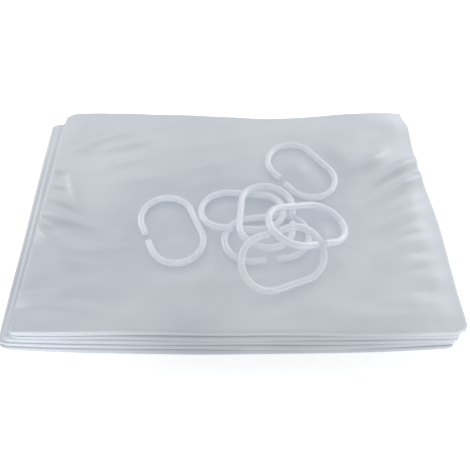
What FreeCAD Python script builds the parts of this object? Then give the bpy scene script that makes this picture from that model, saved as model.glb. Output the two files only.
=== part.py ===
import FreeCAD, Part
import math
import os
import Sketcher

# A clear film shower curtain, folded for sale or storage, with its loose hanging rings on top.
# The 1.2 m by 2.0 m sheet is folded in half twice across its width, which makes a band four films
# thick, and the band is then laid to and fro in ten leaves.
# Millimetres. X runs along the folds, Y from the front folds to the free edges, Z up. The origin is
# the middle of the pack's footprint, on the surface that it lies on.

doc = FreeCAD.newDocument("shower_curtain")

# ---------------------------------------------------------------- driving dimensions
SIZES = {
    "film_width": 295.0,  # a leaf along X, a quarter of the sheet's width
    "pack_depth": 203.0,  # front folds to back folds
    "leaf_thick": 1.65,  # four films and the air between them
    "leaf_pitch": 2.05,  # from one leaf to the next
    "leaf_drift": 0.6,  # each leaf lies this much further along X than the one below
    "fold_step": 0.5,  # each front fold lies this much behind the one below
    "band_depth": 40.0,  # the reinforced hem along the sheet's top edge
    "eyelet_bore": 12.0,
    "eyelet_outer": 22.0,
    "eyelet_thick": 0.35,
    "eyelet_inset": 15.0,  # from the top edge of the sheet
    "eyelet_spacing": 150.0,
    "film_step": 0.41,  # from one film to the next within a leaf
    "ring_length": 66.0,
    "ring_breadth": 43.0,
    "ring_rod": 5.2,
    "ring_mouth": 6.5,  # the gap in the middle of one long side
    "ring_end_round": 0.9,
}
LEAVES = 10
FILMS_IN_A_LEAF = 4
HINGE_ARC = 144.0  # degrees of the top front fold that stay with the pack

sheet = doc.addObject("Spreadsheet::Sheet", "sizes")
for row, (alias, value) in enumerate(SIZES.items(), start=1):
    sheet.set("A%d" % row, alias)
    sheet.set("B%d" % row, str(value))
    sheet.setAlias("B%d" % row, alias)
doc.recompute()

FOLD_OUTER = "(sizes.leaf_pitch + sizes.leaf_thick) / 2"
FOLD_INNER = "(sizes.leaf_pitch - sizes.leaf_thick) / 2"


def bind(thing, **expressions):
    """Ties an object's properties to the sheet. A double underscore stands for a dot."""
    for name, expression in expressions.items():
        thing.setExpression(name.replace("__", "."), expression)


def leaf_left(leaf):
    """The X of a leaf's left side: the leaves drift sideways evenly about the middle of the pack."""
    return "-sizes.film_width / 2 + sizes.leaf_drift * %g" % (leaf - (LEAVES + 1) / 2)


def leaf_bottom(leaf):
    return "sizes.leaf_pitch * %d" % (leaf - 1)


def front_of(leaf):
    """The Y at which a leaf meets its front fold. Leaves 1 and 2 share the lowest fold, and so on."""
    fold = (leaf + 1) // 2
    return "-sizes.pack_depth / 2 + sizes.fold_step * %d + %s" % (fold - 1, FOLD_OUTER)


BACK = "sizes.pack_depth / 2 - " + FOLD_OUTER


# ---------------------------------------------------------------- folded film
def leaf_box(leaf, name, back):
    """One flat leaf of the folded band, from its front fold to the Y given."""
    box = doc.addObject("Part::Box", name)
    bind(
        box,
        Length="sizes.film_width",
        Width="%s - (%s)" % (back, front_of(leaf)),
        Height="sizes.leaf_thick",
        Placement__Base__x=leaf_left(leaf),
        Placement__Base__y=front_of(leaf),
        Placement__Base__z=leaf_bottom(leaf),
    )
    return box


def fold(leaf, side, sweep):
    """The round fold that joins a leaf to the one above it, at the front or at the back. It starts
    at the lower leaf and turns through the angle given."""
    halves = []
    for what, radius in (("outer", FOLD_OUTER), ("inner", FOLD_INNER)):
        half = doc.addObject("Part::Cylinder", "fold_%d_%s" % (leaf, what))
        half.Angle = sweep
        centre_height = "%s + %s" % (leaf_bottom(leaf), FOLD_OUTER)
        bind(
            half,
            Radius=radius,
            Height="sizes.film_width",
            Placement__Base__x=leaf_left(leaf),
            Placement__Base__y=front_of(leaf) if side == "front" else BACK,
            Placement__Base__z=centre_height,
        )
        # The cylinder's axis is laid along X, and its arc starts or ends straight down.
        along_x = FreeCAD.Rotation(FreeCAD.Vector(0, 1, 0), 90)
        start = 0 if side == "back" else -sweep
        turn = FreeCAD.Rotation(FreeCAD.Vector(0, 0, 1), start)
        half.Placement = FreeCAD.Placement(half.Placement.Base, along_x.multiply(turn))
        halves.append(half)
    ring = doc.addObject("Part::Cut", "fold_%d" % leaf)
    ring.Base, ring.Tool = halves
    return ring


pieces = [leaf_box(1, "leaf_1", "sizes.pack_depth / 2 - sizes.band_depth")]
for number in range(2, LEAVES):
    pieces.append(leaf_box(number, "leaf_%d" % number, BACK))
for number in range(1, LEAVES - 1):
    pieces.append(fold(number, "front" if number % 2 else "back", 180.0))
pieces.append(fold(LEAVES - 1, "front", HINGE_ARC))
film_pack = doc.addObject("Part::MultiFuse", "film_pack")
film_pack.Shapes = pieces
film_pack.Refine = True

film_top_leaf = leaf_box(LEAVES, "film_top_leaf", "sizes.pack_depth / 2")


# ---------------------------------------------------------------- sketches and bodies
def origin_plane(body, role):
    return next(f for f in body.Origin.OriginFeatures if f.Role == role)


def sketch_on(body, role, name):
    sketch = body.newObject("Sketcher::SketchObject", name)
    sketch.AttachmentSupport = [(origin_plane(body, role), "")]
    sketch.MapMode = "FlatFace"
    return sketch


def add_circle(sketch, radius, expression, across=0.0, across_to=None, up=0.0, up_to=None):
    """A circle whose radius, and whose centre if it isn't at the origin, follow the sheet."""
    centre = FreeCAD.Vector(across, up, 0)
    circle = sketch.addGeometry(Part.Circle(centre, FreeCAD.Vector(0, 0, 1), radius))
    rule = sketch.addConstraint(Sketcher.Constraint("Radius", circle, radius))
    sketch.setExpression("Constraints[%d]" % rule, expression)
    if across_to is None and up_to is None:
        sketch.addConstraint(Sketcher.Constraint("Coincident", circle, 3, -1, 1))
        return
    for kind, value, formula in (("DistanceX", across, across_to), ("DistanceY", up, up_to)):
        if formula is None:
            axis = -2 if kind == "DistanceX" else -1
            sketch.addConstraint(Sketcher.Constraint("PointOnObject", circle, 3, axis))
        else:
            rule = sketch.addConstraint(Sketcher.Constraint(kind, -1, 1, circle, 3, value))
            sketch.setExpression("Constraints[%d]" % rule, formula)


# ---------------------------------------------------------------- reinforced top hem
# The strip welded over the sheet's top edge. Folded with the sheet, it is the back end of the lowest
# leaf, and the eyelets go through it in two stacks.
band = doc.addObject("Part::Box", "band_block")
bind(
    band,
    Length="sizes.film_width",
    Width="sizes.band_depth",
    Height="sizes.leaf_thick",
    Placement__Base__x=leaf_left(1),
    Placement__Base__y="sizes.pack_depth / 2 - sizes.band_depth",
)
EYELET_Y = "sizes.pack_depth / 2 - sizes.eyelet_inset"
BAND_MIDDLE = "(%s) + sizes.film_width / 2" % leaf_left(1)
holes = []
for column, side in enumerate((-1, 1), start=1):
    hole = doc.addObject("Part::Cylinder", "band_hole_%d" % column)
    bind(
        hole,
        Radius="sizes.eyelet_outer / 2",
        Height="sizes.leaf_thick",
        Placement__Base__x="%s + %d * sizes.eyelet_spacing / 2" % (BAND_MIDDLE, side),
        Placement__Base__y=EYELET_Y,
    )
    holes.append(hole)
hole_pair = doc.addObject("Part::MultiFuse", "band_holes")
hole_pair.Shapes = holes
header_band = doc.addObject("Part::Cut", "header_band")
header_band.Base = band
header_band.Tool = hole_pair


# ---------------------------------------------------------------- eyelets
def eyelet(number):
    """A flat washer welded round a punched hole. Four lie over each other in each stack."""
    body = doc.addObject("PartDesign::Body", "eyelet_%d" % number)
    outline = sketch_on(body, "XY_Plane", "eyelet_%d_outline" % number)
    add_circle(outline, SIZES["eyelet_outer"] / 2, "sizes.eyelet_outer / 2")
    add_circle(outline, SIZES["eyelet_bore"] / 2, "sizes.eyelet_bore / 2")
    pad = body.newObject("PartDesign::Pad", "eyelet_%d_pad" % number)
    pad.Profile = outline
    bind(pad, Length="sizes.eyelet_thick")
    side = -1 if number % 2 else 1
    film = (number - 1) // 2
    clear = "(sizes.film_step - sizes.eyelet_thick) / 2"
    bind(
        body,
        Placement__Base__x="%s + %d * sizes.eyelet_spacing / 2" % (BAND_MIDDLE, side),
        Placement__Base__y=EYELET_Y,
        Placement__Base__z="sizes.film_step * %d + %s" % (film, clear),
    )
    return body


eyelets = [eyelet(number) for number in range(1, 2 * FILMS_IN_A_LEAF + 1)]


# ---------------------------------------------------------------- hanging rings
# A C-shaped ring of round plastic rod, bent to a long oval, open in the middle of one long side.
# In its own frame the oval lies flat, its length is along X and its mouth faces -Y.
def ring(name, place):
    body = doc.addObject("PartDesign::Body", name)
    bend = (SIZES["ring_breadth"] - SIZES["ring_rod"]) / 2
    straight = (SIZES["ring_length"] - SIZES["ring_breadth"]) / 2
    mouth = SIZES["ring_mouth"] / 2

    spine = sketch_on(body, "XY_Plane", name + "_spine")
    corners = [(mouth, -bend), (straight, -bend), (straight, bend)]
    corners += [(-x, y) for x, y in reversed(corners)]
    points = [FreeCAD.Vector(x, y, 0) for x, y in corners]
    nose = [FreeCAD.Vector(side * (straight + bend), 0, 0) for side in (1, -1)]
    edges = [
        Part.LineSegment(points[0], points[1]),
        Part.Arc(points[1], nose[0], points[2]),
        Part.LineSegment(points[2], points[3]),
        Part.Arc(points[3], nose[1], points[4]),
        Part.LineSegment(points[4], points[5]),
    ]
    spine.addGeometry(edges)
    for one in range(len(edges) - 1):
        spine.addConstraint(Sketcher.Constraint("Tangent", one, 2, one + 1, 1))
    for line in (0, 2, 4):
        spine.addConstraint(Sketcher.Constraint("Horizontal", line))
    for arc in (1, 3):
        spine.addConstraint(Sketcher.Constraint("PointOnObject", arc, 3, -1))
    half_straight = "(sizes.ring_length - sizes.ring_breadth) / 2"
    driven = [
        (Sketcher.Constraint("Radius", 1, bend), "(sizes.ring_breadth - sizes.ring_rod) / 2"),
        (Sketcher.Constraint("DistanceX", -1, 1, 1, 3, straight), half_straight),
        (Sketcher.Constraint("DistanceX", 3, 3, -1, 1, straight), half_straight),
        (Sketcher.Constraint("DistanceX", -1, 1, 0, 1, mouth), "sizes.ring_mouth / 2"),
        (Sketcher.Constraint("DistanceX", 4, 2, -1, 1, mouth), "sizes.ring_mouth / 2"),
    ]
    for constraint, formula in driven:
        rule = spine.addConstraint(constraint)
        spine.setExpression("Constraints[%d]" % rule, formula)

    section = sketch_on(body, "YZ_Plane", name + "_section")
    bind(section, AttachmentOffset__Base__z="sizes.ring_mouth / 2")
    add_circle(
        section,
        SIZES["ring_rod"] / 2,
        "sizes.ring_rod / 2",
        across=-bend,
        across_to="-(sizes.ring_breadth - sizes.ring_rod) / 2",
    )
    doc.recompute()

    rod = body.newObject("PartDesign::AdditivePipe", name + "_rod")
    rod.Profile = section
    rod.Spine = (spine, ["Edge%d" % (i + 1) for i in range(len(edges))])
    doc.recompute()
    blunt = []
    for number, edge in enumerate(rod.Shape.Edges, start=1):
        box = edge.BoundBox
        flat_end = box.XLength < 0.01 and abs(abs(box.Center.x) - mouth) < 0.01
        if flat_end and box.ZLength > 0.9 * SIZES["ring_rod"]:
            blunt.append("Edge%d" % number)
    ends_round = body.newObject("PartDesign::Fillet", name + "_ends")
    ends_round.Base = (rod, blunt)
    bind(ends_round, Radius="sizes.ring_end_round")
    body.Placement = place
    return body


FILM_TOP = SIZES["leaf_pitch"] * (LEAVES - 1) + SIZES["leaf_thick"]
# Where each ring lies: X, Y, height of its middle over the film, then its turn about Z and the two
# small angles at which it leans on the rings below. Rings 1, 2 and 7 lie flat on the film. The pile
# rises in the order 7, 3, 4, 6, 5.
RING_PLACES = {
    "ring_1": (-46.0, -21.3, 2.9, -67.0, 0.0, 0.0),
    "ring_2": (52.1, 36.6, 2.9, -53.7, 0.0, 0.0),
    "ring_3": (5.1, -7.2, 6.8, -9.0, -4.6, -7.9),
    "ring_4": (22.7, -15.4, 11.5, 85.1, 5.5, 6.4),
    "ring_5": (51.1, -26.3, 15.1, 23.0, 20.2, -2.7),
    "ring_6": (32.9, -52.6, 11.9, -155.9, -5.1, -24.6),
    "ring_7": (22.7, -29.1, 2.9, 8.0, 0.0, 0.0),
}
rings = []
for ring_name, (x, y, height, turn, lean, roll) in RING_PLACES.items():
    spot = FreeCAD.Vector(x, y, FILM_TOP + height)
    rings.append(ring(ring_name, FreeCAD.Placement(spot, FreeCAD.Rotation(turn, lean, roll))))

# ---------------------------------------------------------------- check and write
doc.recompute()
nodes = [film_pack, film_top_leaf, header_band] + eyelets + rings
bad = [o.Name for o in doc.Objects if {"Invalid", "Error"} & set(o.State)]
if bad:
    raise RuntimeError("failed objects: %s" % bad)
os.makedirs("parts", exist_ok=True)
for node in nodes:
    shape = node.Shape
    if shape.isNull() or not shape.isValid() or len(shape.Solids) != 1:
        raise RuntimeError("%s isn't one valid solid" % node.Label)
for node in nodes:
    node.Shape.exportStep("parts/%s.step" % node.Label)
    box = node.Shape.BoundBox
    print(
        "%-14s %9.1f mm3  x %7.2f %7.2f  y %7.2f %7.2f  z %6.2f %6.2f"
        % (node.Label, node.Shape.Volume, box.XMin, box.XMax, box.YMin, box.YMax, box.ZMin, box.ZMax)
    )
rod_length = 2 * (SIZES["ring_length"] - SIZES["ring_breadth"]) - SIZES["ring_mouth"]
rod_length += math.pi * (SIZES["ring_breadth"] - SIZES["ring_rod"])
print("ring volume from its section: %.1f mm3" % (rod_length * math.pi * SIZES["ring_rod"] ** 2 / 4))
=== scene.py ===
import math

import bmesh
import bpy
import numpy as np
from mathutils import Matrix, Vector, kdtree


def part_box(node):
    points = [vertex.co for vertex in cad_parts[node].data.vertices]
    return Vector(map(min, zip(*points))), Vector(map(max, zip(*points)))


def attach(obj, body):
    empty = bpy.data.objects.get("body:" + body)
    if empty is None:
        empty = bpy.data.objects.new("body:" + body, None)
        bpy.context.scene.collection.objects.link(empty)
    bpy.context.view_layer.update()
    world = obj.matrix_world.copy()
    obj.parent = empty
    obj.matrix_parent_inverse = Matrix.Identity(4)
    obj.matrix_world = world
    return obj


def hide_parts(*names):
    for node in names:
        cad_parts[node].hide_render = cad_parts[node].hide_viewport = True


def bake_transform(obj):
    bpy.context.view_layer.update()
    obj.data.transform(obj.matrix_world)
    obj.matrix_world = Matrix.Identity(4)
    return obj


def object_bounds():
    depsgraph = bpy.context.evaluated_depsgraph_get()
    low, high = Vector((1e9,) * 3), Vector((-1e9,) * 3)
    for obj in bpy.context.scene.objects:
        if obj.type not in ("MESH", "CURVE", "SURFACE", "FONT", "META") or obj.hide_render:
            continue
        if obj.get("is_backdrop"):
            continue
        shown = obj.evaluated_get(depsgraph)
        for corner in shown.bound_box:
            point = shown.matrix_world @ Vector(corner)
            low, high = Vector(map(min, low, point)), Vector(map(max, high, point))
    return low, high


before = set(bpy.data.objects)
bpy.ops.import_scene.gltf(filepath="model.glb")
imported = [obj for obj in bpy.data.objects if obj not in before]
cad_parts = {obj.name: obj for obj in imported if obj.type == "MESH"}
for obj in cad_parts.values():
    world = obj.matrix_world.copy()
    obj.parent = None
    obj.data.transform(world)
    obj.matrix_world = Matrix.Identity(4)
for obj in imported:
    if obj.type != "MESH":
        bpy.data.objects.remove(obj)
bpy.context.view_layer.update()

MM = 0.001

# ---------------------------------------------------------------------------------------------
# Camera. It stands in front of the pack, about 310 mm above the film, and looks steeply down at it.
# ---------------------------------------------------------------------------------------------
CAMERA_PITCH = 54  # degrees below level
CAMERA_FORWARD = 0.24995  # in front of the pack's middle
CAMERA_HEIGHT = 0.31035  # above the top film

film_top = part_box("film_top_leaf")[1].z
camera_data = bpy.data.cameras.new("camera")
camera_data.sensor_width = 36.0
camera_data.lens = 40.35
camera = bpy.data.objects.new("camera", camera_data)
camera.location = (0.0, -CAMERA_FORWARD, film_top + CAMERA_HEIGHT)
camera.rotation_euler = (math.radians(90 - CAMERA_PITCH), 0.0, 0.0)
bpy.context.scene.collection.objects.link(camera)
bpy.context.scene.camera = camera
bpy.context.scene.view_settings.view_transform = "Standard"


# ---------------------------------------------------------------------------------------------
# Film. One sheet of soft frosted film, 1.2 m by 2.0 m and 0.15 mm thick. It is folded in half
# twice across its width, which makes a band of four films, and the band is laid to and fro in ten
# leaves. The top leaf is free at the back and hinges on the top front fold.
# ---------------------------------------------------------------------------------------------
LEAVES = 10
BAND_MIDDLE = 1.5  # a leaf's four films are numbered 0 to 3, from the sheet's outside
FILM_STEP = 0.41 * MM  # from one film to the next within a leaf
FOLD_STEP = 0.5 * MM  # each front fold lies this much behind the one below
LEAF_DRIFT = 0.6 * MM  # each leaf lies this much further to the right than the one below
FOLD_ROUNDNESS = 0.5  # 1 is a round fold, less is pressed flatter at its front
FOLD_STEPS = 12  # faces round each fold from one leaf to the next
EDGE_SHORT = 2 * MM  # the inner free edge stops this much short of the outer one

pack_low, pack_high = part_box("film_pack")
leaf_low, leaf_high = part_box("film_top_leaf")
leaf_thick = leaf_high.z - leaf_low.z
leaf_pitch = (leaf_low.z - pack_low.z) / (LEAVES - 1)
half_width = (leaf_high.x - leaf_low.x) / 2
back_y = pack_high.y
front_y = pack_low.y


def smooth(t):
    t = np.clip(t, 0.0, 1.0)
    return t * t * (3 - 2 * t)


def across_the_band(fine, coarse, outside=0.0):
    """The sheet's width, folded in half twice: X, and the film's place in the leaf, from 0 to 3. Both
    free edges are at the right, one a little short. A strip may lie on the sheet's outside."""
    end = half_width - BAND_MIDDLE * FILM_STEP
    x, place = [], []

    def flat(start, stop, film, count):
        x.extend(np.linspace(start, stop, count))
        place.extend([film] * count)

    def turn(middle, first, last, side, count):
        radius = abs(last - first) / 2
        for angle in np.linspace(0, math.pi, count + 2)[1:-1]:
            x.append(middle + side * radius * FILM_STEP * math.sin(angle))
            place.append((first + last) / 2 - (last - first) / 2 * math.cos(angle))

    flat(end, -end, 3 + outside, coarse)
    turn(-end, 3 + outside, -outside, -1, 8)
    flat(-end, end, -outside, fine)
    turn(end, -outside, 1 + outside, 1, 4)
    flat(end, -end, 1 + outside, coarse)
    turn(-end, 1 + outside, 2 - outside, -1, 4)
    flat(-end, end - EDGE_SHORT, 2 - outside, coarse)
    return np.array(x), np.array(place)


def along_the_leaves(fine, coarse):
    """The sheet's length, laid to and fro: the band's middle line in Y and Z, its normal, which points
    from film 0 to film 3, and how far up the leaves it is, from 1 to 10."""
    line = []
    fold_radius = leaf_pitch / 2
    for leaf in range(1, LEAVES + 1):
        fold = (leaf + 1) // 2
        front = front_y + FOLD_STEP * (fold - 1) + fold_radius + BAND_MIDDLE * FILM_STEP
        back = back_y - fold_radius - BAND_MIDDLE * FILM_STEP
        if leaf in (1, LEAVES):
            back = back_y
        z = leaf_pitch * (leaf - 1) + leaf_thick / 2
        start, stop, up = (back, front, 1) if leaf % 2 else (front, back, -1)
        count = fine if leaf == LEAVES else coarse
        for t in np.linspace(0, 1, count):
            if leaf < LEAVES:
                t = (1 - math.cos(math.pi * t)) / 2
            line.append((start + (stop - start) * t, z, 0.0, up, leaf))
        if leaf == LEAVES:
            break
        side = -1 if leaf % 2 else 1
        for angle in np.linspace(0, math.pi, FOLD_STEPS + 1)[1:-1]:
            out, rise = side * math.sin(angle) ** FOLD_ROUNDNESS, -math.cos(angle)
            line.append(
                (
                    stop + fold_radius * out,
                    z + fold_radius * (1 + rise),
                    out if side > 0 else -out,
                    rise if side > 0 else -rise,
                    leaf + angle / math.pi,
                )
            )
    return np.array(line).T


def grid_mesh(name, points):
    """A mesh of quads through a grid of points, with a UV map in metres of flat sheet."""
    rows, columns = points.shape[:2]
    index = np.arange(rows * columns).reshape(rows, columns)
    faces = np.stack([index[:-1, :-1], index[:-1, 1:], index[1:, 1:], index[1:, :-1]], axis=-1)
    mesh = bpy.data.meshes.new(name)
    mesh.from_pydata(points.reshape(-1, 3).tolist(), [], faces.reshape(-1, 4).tolist())
    mesh.polygons.foreach_set("use_smooth", [True] * len(mesh.polygons))
    mesh.update()
    across = np.cumsum(np.linalg.norm(np.diff(points[0], axis=0, prepend=points[:1, 0]), axis=1))
    along = np.cumsum(np.linalg.norm(np.diff(points[:, 0], axis=0, prepend=points[:1, 0]), axis=1))
    corners = np.empty(len(mesh.loops), dtype=np.int32)
    mesh.loops.foreach_get("vertex_index", corners)
    flat_sheet = np.stack([across[corners % columns], along[corners // columns]], axis=-1)
    mesh.uv_layers.new(name="flat_sheet").data.foreach_set("uv", flat_sheet.ravel())
    made = bpy.data.objects.new(name, mesh)
    bpy.context.scene.collection.objects.link(made)
    return made


def ripple(x, y, size, seed):
    """A smooth random height, mostly from -1 to 1: a sum of long waves in many directions."""
    waves, usual_peak = 12, 5.0
    rng = np.random.default_rng(seed)
    total = np.zeros(np.broadcast(x, y).shape)
    for _ in range(waves):
        angle = rng.uniform(0, 2 * math.pi)
        wave = 2 * math.pi / (size * rng.uniform(0.7, 1.5))
        phase = rng.uniform(0, 2 * math.pi)
        total += np.sin(wave * (x * math.cos(angle) + y * math.sin(angle)) + phase)
    return total / usual_peak


CREASE_STEPS = 16
CREST_SHAPE = 1.6  # 2 is a round crest, less is sharper
SIDE_STARTS = 0.14  # a crease that starts beyond this X, at either side, comes in from the edge
RIGHT_FRONT_ENDS = 30 * MM  # in front of this the creases start low at the right edge
LOW_START = 0.3


def crease(x, y, points, width, height):
    """A crease along a bent line, given by a start, a bend and an end. It is highest, or if its height
    is negative deepest, along the line and fades towards its end. All in millimetres but x and y."""
    start, bend, end = (np.array(p) * MM for p in points)
    steps = np.linspace(0, 1, CREASE_STEPS + 1)[:, None]
    line = (1 - steps) ** 2 * start + 2 * steps * (1 - steps) * bend + steps**2 * end
    nearest = np.full(x.shape, 1.0)
    along = np.zeros(x.shape)
    for i, (here, there) in enumerate(zip(line[:-1], line[1:])):
        run = there - here
        t = np.clip(((x - here[0]) * run[0] + (y - here[1]) * run[1]) / (run @ run), 0, 1)
        distance = np.hypot(x - here[0] - t * run[0], y - here[1] - t * run[1])
        along = np.where(distance < nearest, (i + t) / CREASE_STEPS, along)
        nearest = np.minimum(nearest, distance)
    # It starts at full height at a side edge, low along the right front edge, and at nothing elsewhere.
    at_side = np.abs(start[0]) > SIDE_STARTS
    at_right_front = at_side and start[0] > 0 and start[1] < RIGHT_FRONT_ENDS
    at_start = LOW_START if at_right_front else float(at_side)
    fade = smooth((1 - along) / 0.7) * (at_start + (1 - at_start) * smooth(along / 0.5))
    return height * MM * fade * np.exp(-((nearest / (1.1 * width * MM)) ** CREST_SHAPE))


# The creases of the top film, in millimetres: a start, a bend and an end, the width and the height.
CREASES = [
    (((-149, 38), (-138, 38), (-126, 32)), 2.2, 3.6),
    (((-133, 48), (-127, 14), (-112, -7)), 4.0, 3.4),
    (((-147, 12), (-130, 9), (-112, -7)), 3.0, 3.2),
    (((-147, 25), (-136, 24), (-124, 14)), 2.8, 2.2),
    (((-149, -16), (-141, -15), (-130, -22)), 2.2, 3.2),
    (((-144, -20), (-122, -52), (-64, -31)), 4.2, 3.8),
    (((-147, -4), (-122, -12), (-90, -22)), 3.6, 2.6),
    (((-138, -30), (-112, -58), (-80, -50)), 4.6, 1.8),
    (((-140, 54), (-112, 70), (-82, 88)), 5.0, 3.4),
    (((-122, 55), (-88, 66), (-58, 77)), 4.4, 3.6),
    (((-118, 37), (-84, 46), (-50, 59)), 5.0, 3.0),
    (((-104, 23), (-70, 28), (-32, 38)), 5.5, 2.0),
    (((-56, 36), (-16, 42), (10, 54)), 5.5, 1.6),
    (((-50, 62), (-10, 66), (34, 80)), 7.0, 1.4),
    (((128, 64), (110, 42), (78, 35)), 4.6, 3.8),
    (((147, 49), (124, 38), (90, 8)), 4.6, 5.0),
    (((152, 35), (145, 36), (137, 35)), 1.5, 2.4),
    (((151, 33), (120, 20), (83, -14)), 4.0, 4.2),
    (((151, 16), (134, 5), (106, -9)), 4.6, 2.0),
    (((150, 2), (124, -8), (92, -29)), 5.0, 2.5),
    (((149, -14), (128, -19), (98, -38)), 5.2, 1.6),
    (((149, -27), (122, -33), (88, -48)), 5.4, 1.9),
    (((150, -44), (130, -47), (98, -57)), 5.2, 1.3),
    (((150, -60), (136, -62), (112, -71)), 5.0, 1.4),
    (((148, -80), (120, -84), (86, -80)), 6.0, 1.2),
    (((138, -22), (128, -25), (108, -32)), 2.4, -0.8),
    (((139, -38), (129, -41), (112, -46)), 2.4, -0.9),
    (((138, -52), (128, -54), (112, -58)), 2.4, -0.9),
    (((138, -70), (126, -73), (112, -74)), 2.4, -0.7),
    (((148, 88), (118, 98), (84, 76)), 15.0, 2.4),
    (((-149, -86), (-116, -87), (-56, -91)), 6.5, 4.3),
    (((-146, -80), (-124, -78), (-100, -70)), 4.0, 1.2),
    (((-146, -66), (-110, -74), (-60, -62)), 9.0, 0.8),
    (((-60, -60), (0, -66), (60, -70)), 9.0, 1.0),
    (((150, -90), (110, -91), (50, -92)), 6.0, 1.7),
]

# Where the rings' rods pass low over the film, on a fine grid. Points are taken all along the edges
# of a rod's faces, because its straight sides have corners only at their ends.
ROD_GRID = 0.5 * MM
ROD_IS_LOW = 8 * MM  # a rod's faces below this height over the film count
STEPS_ALONG_EDGE = 40
ROD_REACH = 1.5 * MM  # the film is flat this far from a rod
ROD_FADE = 16 * MM  # and is fully shaped this much further on
ring_names = sorted(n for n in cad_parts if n.startswith("ring_"))
resting = set()
for name in ring_names:
    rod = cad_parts[name].data
    corners = np.empty(3 * len(rod.vertices))
    rod.vertices.foreach_get("co", corners)
    ends = np.empty(2 * len(rod.edges), dtype=np.int32)
    rod.edges.foreach_get("vertices", ends)
    here, there = corners.reshape(-1, 3)[ends.reshape(-1, 2)].transpose(1, 0, 2)
    steps = np.linspace(0, 1, STEPS_ALONG_EDGE + 1)[:, None, None]
    points = (here + (there - here) * steps).reshape(-1, 3)
    low = points[points[:, 2] < film_top + ROD_IS_LOW, :2]
    resting.update(map(tuple, np.unique(np.round(low / ROD_GRID).astype(int), axis=0).tolist()))
resting = np.array(sorted(resting)) * ROD_GRID


def clear_of_rings(x, y):
    """0 under the rings, 1 well away from them, so that the film lies flat where they rest."""
    tree = kdtree.KDTree(len(resting))
    for i, p in enumerate(resting):
        tree.insert((p[0], p[1], 0.0), i)
    tree.balance()
    near = np.array([tree.find((a, b, 0.0))[2] for a, b in zip(x.ravel(), y.ravel())])
    return smooth((near.reshape(x.shape) - ROD_REACH) / ROD_FADE)


SWELL = 0.8 * MM
LUMPS = 0.3 * MM
CRINKLES = 0.07 * MM
SLACK_RIDGES = 0.32 * MM
EDGE_STRIP = 15 * MM  # the lumps and creases halve in height across this strip at each side
LEAST_HEIGHT = 0.2 * MM


def top_height(x, y, place):
    """How far the films of the top leaf stand above flat. All four share a soft swell, and the
    uppermost, whose place is 0, also has the creases. They lie flat under the rings."""
    swell = SWELL * (1 + 0.6 * ripple(x, y, 0.11, 3))
    lumps = LUMPS * (1 + ripple(x, y, 0.035, 5)) + CRINKLES * ripple(x, y, 0.012, 9)
    # Faint slack ridges run up to the right.
    along, aside = 0.3 * (0.9 * x + 0.43 * y), 0.9 * y - 0.43 * x
    lumps = lumps + SLACK_RIDGES * (1 + ripple(along, aside, 0.03, 21))
    for points, width, height in CREASES:
        lumps = lumps + crease(x, y, points, width, height)
    lumps = lumps * (1 - 0.5 * smooth((np.abs(x) - half_width + EDGE_STRIP) / EDGE_STRIP))
    uppermost = 1 - smooth(place)
    total = swell * (0.5 + 0.5 * uppermost) + lumps * uppermost
    return LEAST_HEIGHT + total * clear_of_rings(x, y)


EXTRA_SPREAD = 0.5  # the films stand this share further apart near the folds
BULGE = 2.8 * MM  # every front fold bulges forward by this much
SLACK_BULGE = 4.2 * MM  # and the middle of the lowest by this much more
WANDER = 0.75 * MM  # the lines of the folds stray by about this much
FINE_LINES = 0.1 * MM  # the height of the faint lines along the folds
FOLD_END = 7 * MM  # the ends of the front folds are rounded over this length
DRAWN_BACK = 3.2 * MM  # and drawn back by about this much
SQUEEZE = 0.9 * MM  # the folds rise and dip by about this much
SQUEEZE_TOP = 0.85  # up to this share of the pack's height
BACK_OUT = 3.0 * MM  # the back edges stand out by this much at their ends
BACK_DIP = 6.4 * MM  # and lie this much further in near their middle
CORNER_CUT = 15 * MM  # how far the top leaf's back left corner is rounded off
RIGHT_LEAN = 3.5 * MM  # the right side leans in by this much towards the back
RIGHT_CLIP = 3.5 * MM  # and its corner by this much more
RAGGED = 0.5 * MM  # the leaves' side edges vary by about this much
LOW_LEAVES_OUT = 9.0 * MM  # the low leaves lie further out at the left by about this much
FLOOR_GAP = 0.05 * MM


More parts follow.
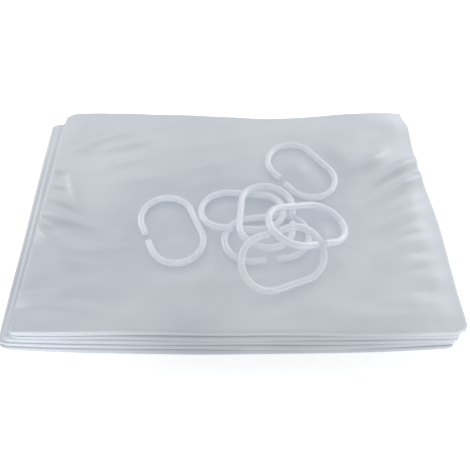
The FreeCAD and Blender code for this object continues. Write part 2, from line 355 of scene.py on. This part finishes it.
def fold_film(columns, rows):
    """The folded sheet's points, from its columns across the band and its rows along the leaves."""
    x0, place = columns
    y0, z0, normal_y, normal_z, leaf = rows
    # The four films stand further apart near the folds, but not at the eyelets' end of the sheet.
    spread = 1 + EXTRA_SPREAD * smooth((np.abs(y0) - 0.07) / 0.025)[:, None]
    spread[(leaf <= 1) & (y0 > 0)] = 1.0
    from_middle = ((place - BAND_MIDDLE) * FILM_STEP)[None, :] * spread
    y = y0[:, None] + from_middle * normal_y[:, None]
    z = z0[:, None] + from_middle * normal_z[:, None]
    x = x0[None, :] + LEAF_DRIFT * (leaf - (LEAVES + 1) / 2)[:, None]
    level = np.clip(z / film_top, 0, 1)
    # The folds bulge forward, the lower ones most in the middle, where the film is slack.
    middle = np.clip(1 - (x / half_width) ** 2, 0, 1)
    bulge = BULGE + SLACK_BULGE * (1 - level) ** 1.2 * middle
    wander = WANDER * ripple(x, leaf[:, None] * 0.05, 0.12, 7)
    # Faint lines run along each fold. A row's leaf is a whole number on a leaf, not round a fold.
    round_fold = (leaf % 1)[:, None]
    bend = ripple(x, np.floor(leaf)[:, None] * 0.07, 0.16, 13)
    lines = np.sin(9 * round_fold * math.pi + 2.5 * bend) * np.sin(math.pi * round_fold)
    near_front = smooth((-0.06 - y) / 0.04)
    y = y - near_front * (bulge + wander + FINE_LINES * lines)
    # The ends of the front folds are rounded, some more than others.
    to_end = np.clip((np.abs(x) - half_width + FOLD_END) / FOLD_END, 0, 1)
    drawn_back = DRAWN_BACK * (1 + 0.5 * ripple(leaf[:, None] * 0.06, 0.0, 0.1, 19))
    y = y + near_front * drawn_back * (1 - np.sqrt(1 - to_end**2))
    # The folds are squeezed unevenly, so their edges run closer together in some places. The top
    # fold, where the top leaf hinges, is left as it is.
    between = np.sin(math.pi * np.clip(level / SQUEEZE_TOP, 0, 1))
    z = z + near_front * between * SQUEEZE * ripple(x, z * 6, 0.11, 17)
    # The back edges dip near the middle, and the top leaf's back left corner is rounded.
    in_top_leaf = smooth(leaf - (LEAVES - 1))[:, None]
    back = BACK_OUT - BACK_DIP * np.exp(-(((x - 0.022) / 0.055) ** 2))
    corner = np.clip((-0.1345 - x) / 0.013, 0, 1)
    back = back - CORNER_CUT * (1 - np.sqrt(1 - corner**2)) * in_top_leaf
    y = y + smooth((y - 0.05) / 0.05) * back
    # The right side leans in towards the back, and the corner there is clipped.
    lean = RIGHT_LEAN * smooth((y + 0.03) / 0.1) + RIGHT_CLIP * smooth((y - 0.086) / 0.014)
    x = x - lean * smooth((x - 0.05) / 0.09)
    # No two leaves end in one line, and the low ones lie further out at the left.
    ragged = RAGGED * ripple(leaf[:, None] * 0.031, y, 0.09, 11)
    x = x + ragged * smooth((np.abs(x) - 0.09) / 0.05) * np.sign(x)
    low_leaves = smooth((0.66 - level) / 0.35) * (1 + 3 * (y + 0.1))
    x = x - LOW_LEAVES_OUT * smooth((-x - 0.04) / 0.1) * low_leaves
    z = np.maximum(z, FLOOR_GAP)
    # Only the top leaf is creased.
    top_rows = leaf > LEAVES - 1
    places = np.broadcast_to(place, x.shape)
    z[top_rows] += in_top_leaf[top_rows] * top_height(x[top_rows], y[top_rows], places[top_rows])
    return np.stack([x, y, z], axis=-1)


# The mesh is fine only where it shows: on the upper film, and along the top leaf.
columns = across_the_band(fine=204, coarse=18)
rows = along_the_leaves(fine=150, coarse=8)
film = grid_mesh("curtain_film", fold_film(columns, rows))


# The film's looks: pale blue-grey frosted plastic with a satin shine and faint crinkles.
def new_material(name):
    material = bpy.data.materials.new(name)
    material.use_nodes = True
    tree = material.node_tree
    shader = tree.nodes["Principled BSDF"]
    return material, tree, shader


# Every plastic here has a fine surface grain: a mask, a roughness that follows it and a bumped normal.
plastic_grain = bpy.data.node_groups.new("plastic_grain", "ShaderNodeTree")
sockets = plastic_grain.interface
sockets.new_socket("Vector", in_out="INPUT", socket_type="NodeSocketVector")
for input_name in ("Scale", "Detail", "Bump", "Depth", "Smoothest", "Roughest"):
    sockets.new_socket(input_name, in_out="INPUT", socket_type="NodeSocketFloat")
sockets.new_socket("Grain", in_out="OUTPUT", socket_type="NodeSocketFloat")
sockets.new_socket("Roughness", in_out="OUTPUT", socket_type="NodeSocketFloat")
sockets.new_socket("Normal", in_out="OUTPUT", socket_type="NodeSocketVector")
given = plastic_grain.nodes.new("NodeGroupInput")
result = plastic_grain.nodes.new("NodeGroupOutput")
noise = plastic_grain.nodes.new("ShaderNodeTexNoise")
grain_bump = plastic_grain.nodes.new("ShaderNodeBump")
grain_roughness = plastic_grain.nodes.new("ShaderNodeMapRange")
for source, target in (
    (given.outputs["Vector"], noise.inputs["Vector"]),
    (given.outputs["Scale"], noise.inputs["Scale"]),
    (given.outputs["Detail"], noise.inputs["Detail"]),
    (given.outputs["Bump"], grain_bump.inputs["Strength"]),
    (given.outputs["Depth"], grain_bump.inputs["Distance"]),
    (noise.outputs["Fac"], grain_bump.inputs["Height"]),
    (noise.outputs["Fac"], grain_roughness.inputs["Value"]),
    (given.outputs["Smoothest"], grain_roughness.inputs["To Min"]),
    (given.outputs["Roughest"], grain_roughness.inputs["To Max"]),
    (noise.outputs["Fac"], result.inputs["Grain"]),
    (grain_roughness.outputs["Result"], result.inputs["Roughness"]),
    (grain_bump.outputs["Normal"], result.inputs["Normal"]),
):
    plastic_grain.links.new(source, target)


def add_grain(tree, shader, where, scale, detail, bump, depth, smoothest, roughest):
    """Give a plastic its surface grain. Depth is in metres. Returns the node, for its grain mask."""
    grain = tree.nodes.new("ShaderNodeGroup")
    grain.node_tree = plastic_grain
    grain.inputs["Scale"].default_value = scale
    grain.inputs["Detail"].default_value = detail
    grain.inputs["Bump"].default_value = bump
    grain.inputs["Depth"].default_value = depth
    grain.inputs["Smoothest"].default_value = smoothest
    grain.inputs["Roughest"].default_value = roughest
    coordinate = tree.nodes.new("ShaderNodeTexCoord")
    tree.links.new(coordinate.outputs[where], grain.inputs["Vector"])
    tree.links.new(grain.outputs["Roughness"], shader.inputs["Roughness"])
    tree.links.new(grain.outputs["Normal"], shader.inputs["Normal"])
    return grain


def add_tint(tree, shader, mask, dark, light, start=0.0, stop=1.0):
    """Colour a plastic between two tints, by a mask."""
    tint = tree.nodes.new("ShaderNodeValToRGB")
    tint.color_ramp.elements[0].position = start
    tint.color_ramp.elements[0].color = (*dark, 1)
    tint.color_ramp.elements[1].position = stop
    tint.color_ramp.elements[1].color = (*light, 1)
    tree.links.new(mask, tint.inputs["Fac"])
    tree.links.new(tint.outputs["Color"], shader.inputs["Base Color"])


film_material, tree, shader = new_material("frosted_film")
coordinate = tree.nodes.new("ShaderNodeTexCoord")
mottle = tree.nodes.new("ShaderNodeTexNoise")
mottle.inputs["Scale"].default_value = 9.0
mottle.inputs["Detail"].default_value = 3.0
tree.links.new(coordinate.outputs["Object"], mottle.inputs["Vector"])
dark_film, light_film = (0.408, 0.434, 0.479), (0.512, 0.536, 0.576)
add_tint(tree, shader, mottle.outputs["Fac"], dark_film, light_film, start=0.3, stop=0.7)
add_grain(
    tree, shader, "UV", scale=120.0, detail=4.0, bump=0.14, depth=0.0006, smoothest=0.33, roughest=0.5
)
shader.inputs["IOR"].default_value = 1.48
film.data.materials.append(film_material)

# The top edge of the sheet is punched for the eyelets, through all four films at once.
HOLE_RADIUS = 6 * MM
HOLE_SIDES = 16
CUT_TOLERANCE = 1e-7
hem_low, hem_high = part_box("header_band")
eyelet_names = sorted(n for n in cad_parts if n.startswith("eyelet_"))
hole_places = set()  # to a tenth of a millimetre, because four washers share each place
for name in eyelet_names:
    washer_low, washer_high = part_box(name)
    centre = (washer_low + washer_high) / 2
    hole_places.add((round(centre.x, 4), round(centre.y, 4)))
hole_places = sorted(hole_places)


def reaches_hole(face, middle):
    """Whether a face is in the lowest leaf and comes within the square round a hole."""
    for axis in range(2):
        values = [v.co[axis] - middle[axis] for v in face.verts]
        if min(values) > HOLE_RADIUS or max(values) < -HOLE_RADIUS:
            return False
    return all(v.co.z < leaf_pitch for v in face.verts)


def punch_holes(sheet):
    """Cut the round holes out of the part of a sheet that lies in the lowest leaf."""
    cut = bmesh.new()
    cut.from_mesh(sheet.data)
    for hole in hole_places:
        middle = Vector((*hole, 0.0))
        faces = [f for f in cut.faces if reaches_hole(f, middle)]
        geometry = list({g for f in faces for g in (*f.verts, *f.edges)}) + faces
        geometry.sort(key=lambda g: (type(g).__name__, g.index))
        for side in range(HOLE_SIDES):
            angle = 2 * math.pi * side / HOLE_SIDES
            outwards = Vector((math.cos(angle), math.sin(angle), 0.0))
            split = bmesh.ops.bisect_plane(
                cut,
                geom=geometry,
                dist=CUT_TOLERANCE,
                plane_co=middle + outwards * HOLE_RADIUS,
                plane_no=outwards,
            )
            geometry = split["geom"]
        waste = [
            g
            for g in geometry
            if isinstance(g, bmesh.types.BMFace)
            and (g.calc_center_median().xy - middle.xy).length < HOLE_RADIUS
        ]
        bmesh.ops.delete(cut, geom=waste, context="FACES")
    cut.to_mesh(sheet.data)
    cut.free()


punch_holes(film)
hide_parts("film_pack", "film_top_leaf")
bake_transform(film)

# ---------------------------------------------------------------------------------------------
# Reinforced top hem. A second strip of film, 40 mm wide, is welded to the outside of the sheet's top
# edge, where the eyelets go, and both are punched with 12 mm holes. It is folded with the sheet and
# hidden at the back of the lowest leaf.
# ---------------------------------------------------------------------------------------------
HEM_OFF_FILM = 0.2  # of a film step
HEM_ROWS = 9
HEM_COLUMNS = 60  # across each quarter of the sheet's width
hem_depth = np.linspace(hem_high.y, hem_low.y, HEM_ROWS)
flat_row = np.ones_like(hem_depth)
hem_rows = np.array([hem_depth, flat_row * leaf_thick / 2, 0 * flat_row, flat_row, flat_row])
hem_columns = across_the_band(HEM_COLUMNS, HEM_COLUMNS, HEM_OFF_FILM)
hem = grid_mesh("welded_hem", fold_film(hem_columns, hem_rows))
punch_holes(hem)

hem_material, tree, shader = new_material("welded_hem_film")
grain = add_grain(
    tree, shader, "UV", scale=90.0, detail=3.0, bump=0.15, depth=0.0004, smoothest=0.35, roughest=0.5
)
coordinate = tree.nodes.new("ShaderNodeTexCoord")
weld = tree.nodes.new("ShaderNodeTexWave")
weld.bands_direction = "DIAGONAL"
weld.inputs["Scale"].default_value = 300.0
weld_bump = tree.nodes.new("ShaderNodeBump")
weld_bump.inputs["Strength"].default_value = 0.2
weld_bump.inputs["Distance"].default_value = 0.0002
tree.links.new(coordinate.outputs["UV"], weld.inputs["Vector"])
tree.links.new(weld.outputs["Fac"], weld_bump.inputs["Height"])
tree.links.new(grain.outputs["Normal"], weld_bump.inputs["Normal"])
tree.links.new(weld_bump.outputs["Normal"], shader.inputs["Normal"])
add_tint(tree, shader, weld.outputs["Fac"], (0.46, 0.49, 0.54), (0.54, 0.57, 0.61))
hem.data.materials.append(hem_material)
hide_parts("header_band")
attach(hem, "pack")

# ---------------------------------------------------------------------------------------------
# Eyelets. Flat washers of clear-white plastic, 22 mm across, welded round the hem's holes. Four lie
# one over another at each place, because the sheet is folded in four.
# ---------------------------------------------------------------------------------------------
eyelet_material, tree, shader = new_material("eyelet_plastic")
grain = add_grain(
    tree, shader, "Object", scale=220.0, detail=2.0, bump=0.15, depth=0.0002, smoothest=0.32, roughest=0.44
)
add_tint(tree, shader, grain.outputs["Grain"], (0.70, 0.72, 0.75), (0.82, 0.83, 0.85))
for name in eyelet_names:
    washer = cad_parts[name]
    washer.data.materials.clear()
    washer.data.materials.append(eyelet_material)

# ---------------------------------------------------------------------------------------------
# Rings. Seven open ovals of milky, half-clear plastic rod, 5.2 mm thick, each moulded in one piece.
# Each goes over the curtain rail and through an eyelet in use. Here they lie loose on the top leaf.
# ---------------------------------------------------------------------------------------------
ring_material, tree, shader = new_material("milky_ring_plastic")
grain = add_grain(
    tree, shader, "Object", scale=160.0, detail=2.0, bump=0.08, depth=0.0003, smoothest=0.28, roughest=0.36
)
add_tint(tree, shader, grain.outputs["Grain"], (0.565, 0.595, 0.635), (0.665, 0.695, 0.73))
shader.inputs["IOR"].default_value = 1.45
shader.inputs["Coat Weight"].default_value = 0.4
shader.inputs["Coat Roughness"].default_value = 0.2
# The rod lets more light through than it looks to, so its shadow is faint.
RING_ALPHA = 0.68
SHADOW_LOSS = 0.6  # how much less of the light it stops than its alpha says
light_path = tree.nodes.new("ShaderNodeLightPath")
clearness = tree.nodes.new("ShaderNodeMath")
clearness.operation = "MULTIPLY_ADD"
clearness.inputs[1].default_value = -SHADOW_LOSS
clearness.inputs[2].default_value = RING_ALPHA
tree.links.new(light_path.outputs["Is Shadow Ray"], clearness.inputs[0])
tree.links.new(clearness.outputs["Value"], shader.inputs["Alpha"])

SAME_POINT = 2e-6
for name in ring_names:
    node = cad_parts[name]
    smooth_rod = bmesh.new()
    smooth_rod.from_mesh(node.data)
    bmesh.ops.remove_doubles(smooth_rod, verts=smooth_rod.verts, dist=SAME_POINT)
    mesh = bpy.data.meshes.new(name + "_moulding")
    smooth_rod.to_mesh(mesh)
    smooth_rod.free()
    mesh.polygons.foreach_set("use_smooth", [True] * len(mesh.polygons))
    mesh.materials.append(ring_material)
    ring = bpy.data.objects.new(name + "_moulding", mesh)
    bpy.context.scene.collection.objects.link(ring)
    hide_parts(name)
    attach(ring, name)

# ---------------------------------------------------------------------------------------------
# Floor and light. A pale seamless floor, a soft bright sky and large soft lamps.
# ---------------------------------------------------------------------------------------------
FLOOR_REACH = 3.0
FLOOR_DROP = 0.2 * MM  # the floor lies just under the lowest film
floor_mesh = bpy.data.meshes.new("floor")
floor_corners = [
    (side_x * FLOOR_REACH, side_y * FLOOR_REACH, -FLOOR_DROP)
    for side_x, side_y in ((-1, -1), (1, -1), (1, 1), (-1, 1))
]
floor_mesh.from_pydata(floor_corners, [], [(0, 1, 2, 3)])
floor = bpy.data.objects.new("floor", floor_mesh)
bpy.context.scene.collection.objects.link(floor)
floor_material, tree, shader = new_material("floor_paper")
shader.inputs["Base Color"].default_value = (0.8, 0.8, 0.8, 1)
shader.inputs["Roughness"].default_value = 0.9
shader.inputs["Emission Color"].default_value = (1, 1, 1, 1)
shader.inputs["Emission Strength"].default_value = 0.38
floor_mesh.materials.append(floor_material)
floor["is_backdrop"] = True

# The sky lights the film. Where the floor ends, a plain grey like the far floor's is seen instead.
world = bpy.data.worlds.new("studio")
bpy.context.scene.world = world
world.use_nodes = True
tree = world.node_tree
sky = tree.nodes["Background"]
sky.inputs["Color"].default_value = (0.97, 0.985, 1.0, 1)
sky.inputs["Strength"].default_value = 0.56
backdrop = tree.nodes.new("ShaderNodeBackground")
backdrop.inputs["Color"].default_value = (0.815, 0.822, 0.828, 1)
seen = tree.nodes.new("ShaderNodeLightPath")
choose = tree.nodes.new("ShaderNodeMixShader")
tree.links.new(seen.outputs["Is Camera Ray"], choose.inputs["Fac"])
tree.links.new(sky.outputs["Background"], choose.inputs[1])
tree.links.new(backdrop.outputs["Background"], choose.inputs[2])
tree.links.new(choose.outputs["Shader"], tree.nodes["World Output"].inputs["Surface"])


def soft_lamp(name, place, size, power, aim=(0, 0, 0), spread=180):
    lamp_data = bpy.data.lights.new(name, "AREA")
    lamp_data.shape = "RECTANGLE"
    lamp_data.size, lamp_data.size_y = size
    lamp_data.energy = power
    lamp_data.spread = math.radians(spread)
    lamp = bpy.data.objects.new(name, lamp_data)
    lamp.location = place
    lamp.rotation_euler = (Vector(aim) - Vector(place)).to_track_quat("-Z", "Y").to_euler()
    lamp.visible_camera = False
    bpy.context.scene.collection.objects.link(lamp)


soft_lamp("back_lamp", (-0.4, 0.9, 0.9), size=(0.9, 0.6), power=2.6)
soft_lamp("front_fill_lamp", (0, -1.0, 1.1), size=(0.9, 0.6), power=4.2)
soft_lamp("left_lamp", (-0.6, 0.3, 0.32), size=(0.3, 0.2), power=1.5, aim=(-0.1, 0.02, 0.02))
soft_lamp("right_lamp", (0.55, 0.42, 0.34), size=(0.7, 0.4), power=3.2, aim=(0.1, 0.02, 0.02))
# Two small, narrow lamps graze the ends of the front folds.
FRONT_SIZE = (0.1, 0.05)
FRONT_SPREAD = 50  # degrees
left_aim, right_aim = (-0.145, -0.1, 0.01), (0.15, -0.1, 0.01)
soft_lamp("front_left_lamp", (-0.22, -0.36, 0.06), FRONT_SIZE, 0.045, left_aim, FRONT_SPREAD)
soft_lamp("front_right_lamp", (0.34, -0.36, 0.06), FRONT_SIZE, 0.04, right_aim, FRONT_SPREAD)

# The visual model's box.
low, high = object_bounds()
